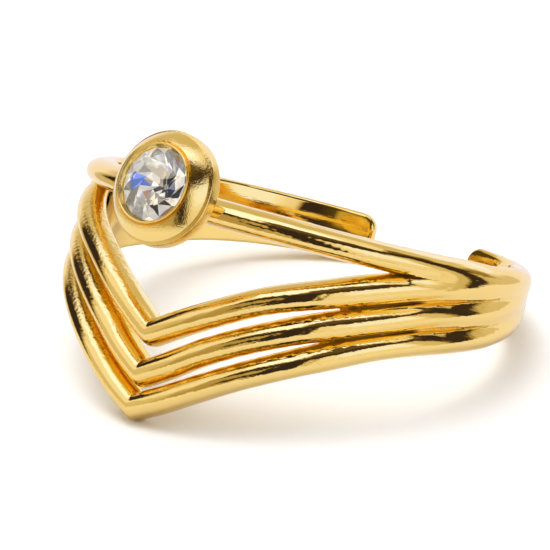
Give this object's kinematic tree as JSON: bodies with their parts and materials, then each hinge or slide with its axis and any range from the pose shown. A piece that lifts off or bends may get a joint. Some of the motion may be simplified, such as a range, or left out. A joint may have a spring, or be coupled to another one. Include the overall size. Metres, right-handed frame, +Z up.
{
  "type": "chevron ring",
  "caption": "Open adjustable finger ring: stacked V-shaped wires and a plain bar that carries a round stone in a turned cup.",
  "frame": {"origin": "centre of the bounding box's base, on the surface that the ring lies on", "axes": "+Z up from the surface; -Y towards the ring's front, where the V corners and the stone are; +X towards the ring's right side"},
  "size_m": [0.02, 0.0214, 0.0123],
  "materials": {
    "gold": "polished gold plating",
    "stone": "clear cut crystal with a foil back"
  },
  "bodies": {
    "root": {"ring_band": "gold", "crystal": "stone"}
  },
  "joints": []
}
